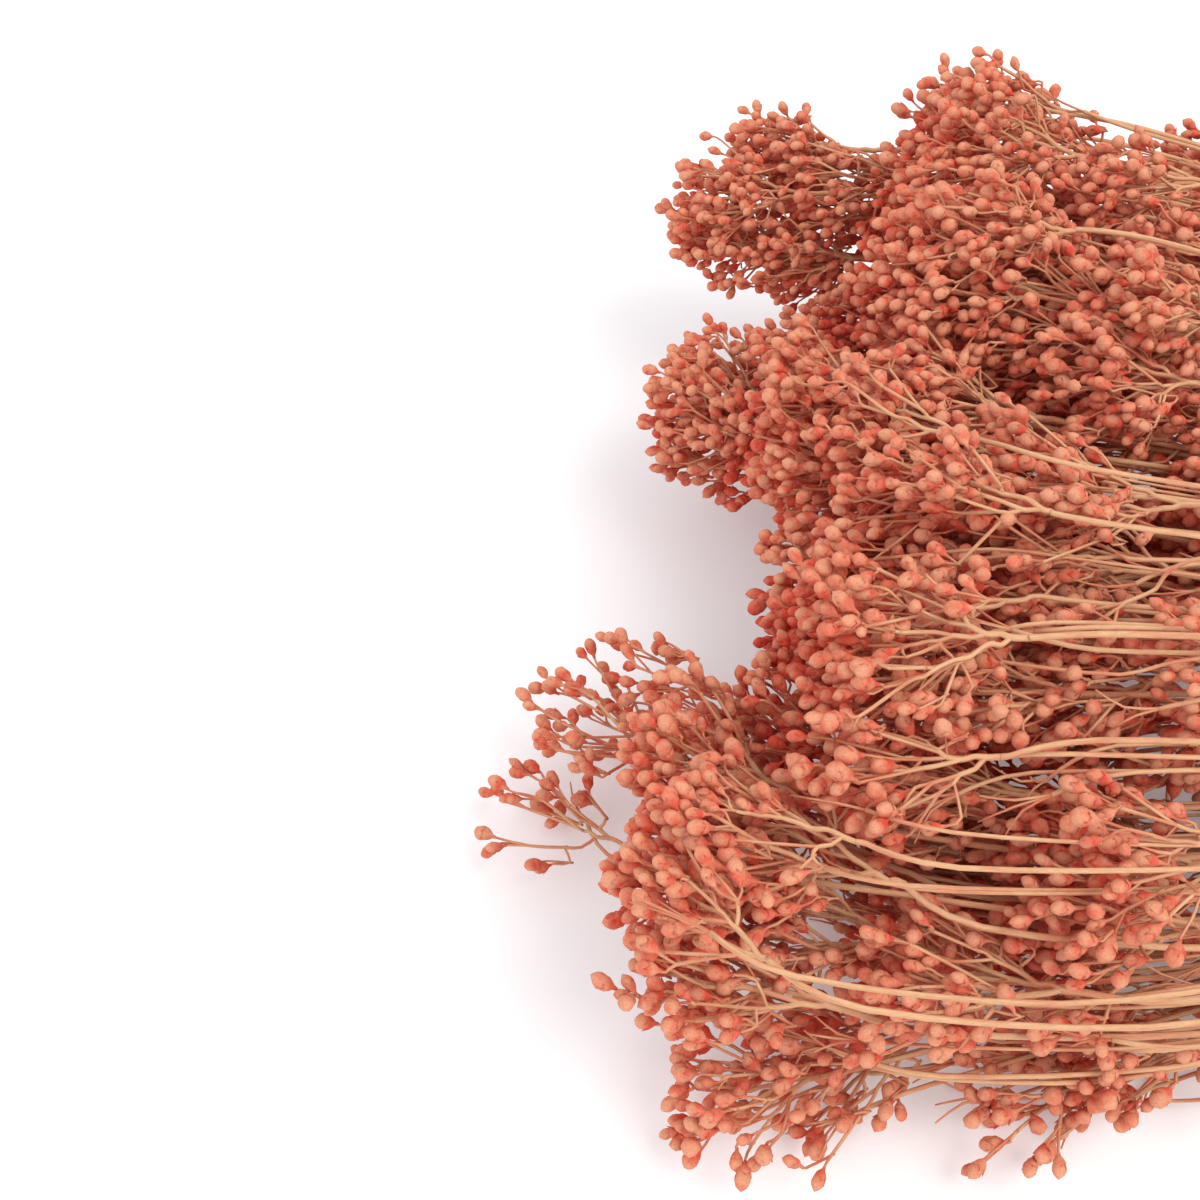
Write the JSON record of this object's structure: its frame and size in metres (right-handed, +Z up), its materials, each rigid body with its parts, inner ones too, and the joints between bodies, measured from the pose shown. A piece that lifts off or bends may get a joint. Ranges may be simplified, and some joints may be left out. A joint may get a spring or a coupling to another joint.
{
  "type": "dried sorghum seed head",
  "caption": "Dried, dyed sorghum seed head lying on its side: a cut stalk whose thin branches fan out to clusters of small seeds.",
  "frame": {"origin": "middle of the footprint, on the surface that the head lies on", "axes": "+X along the head from its seed clusters back to the cut end of the stalk, +Y across it, +Z up from the surface"},
  "size_m": [0.5524, 0.2602, 0.0989],
  "materials": {
    "stalk": "dried cut stalk, dyed tan-peach, fine lengthwise fibres, dull",
    "stem": "thin dried stems, dyed tan-peach, matt",
    "seeds": "dried seeds dyed salmon coral, paler on top and deeper red at their bracts, matt"
  },
  "bodies": {
    "root": {"stalk": "stalk", "stem_front_left": "stem", "seeds_front_left": "seeds", "stem_front_drooping": "stem", "seeds_front_drooping": "seeds", "stem_front_middle": "stem", "seeds_front_middle": "seeds", "stem_front_inner": "stem", "seeds_front_inner": "seeds", "stem_front_right": "stem", "seeds_front_right": "seeds", "stem_front_tuft": "stem", "seeds_front_tuft": "seeds", "stem_front_upper": "stem", "seeds_front_upper": "seeds", "stem_low_left": "stem", "seeds_low_left": "seeds", "stem_low_tip": "stem", "seeds_low_tip": "seeds", "stem_low_middle": "stem", "seeds_low_middle": "seeds", "stem_low_right": "stem", "seeds_low_right": "seeds", "stem_low_centre": "stem", "seeds_low_centre": "seeds", "stem_low_far": "stem", "seeds_low_far": "seeds", "stem_low_back": "stem", "seeds_low_back": "seeds", "stem_crown_fan": "stem", "seeds_crown_fan": "seeds", "stem_crown_behind": "stem", "seeds_crown_behind": "seeds", "stem_crown_middle": "stem", "seeds_crown_middle": "seeds", "stem_crown_front": "stem", "seeds_crown_front": "seeds", "stem_crown_far": "stem", "seeds_crown_far": "seeds", "stem_crown_right": "stem", "seeds_crown_right": "seeds", "stem_crown_top": "stem", "seeds_crown_top": "seeds", "stem_crown_rear": "stem", "seeds_crown_rear": "seeds", "stem_far_left": "stem", "seeds_far_left": "seeds", "stem_far_corner": "stem", "seeds_far_corner": "seeds", "stem_far_top": "stem", "seeds_far_top": "seeds", "stem_far_middle": "stem", "seeds_far_middle": "seeds", "stem_far_right": "stem", "seeds_far_right": "seeds", "stem_back_middle": "stem", "seeds_back_middle": "seeds", "stem_back_front": "stem", "seeds_back_front": "seeds"}
  },
  "joints": []
}
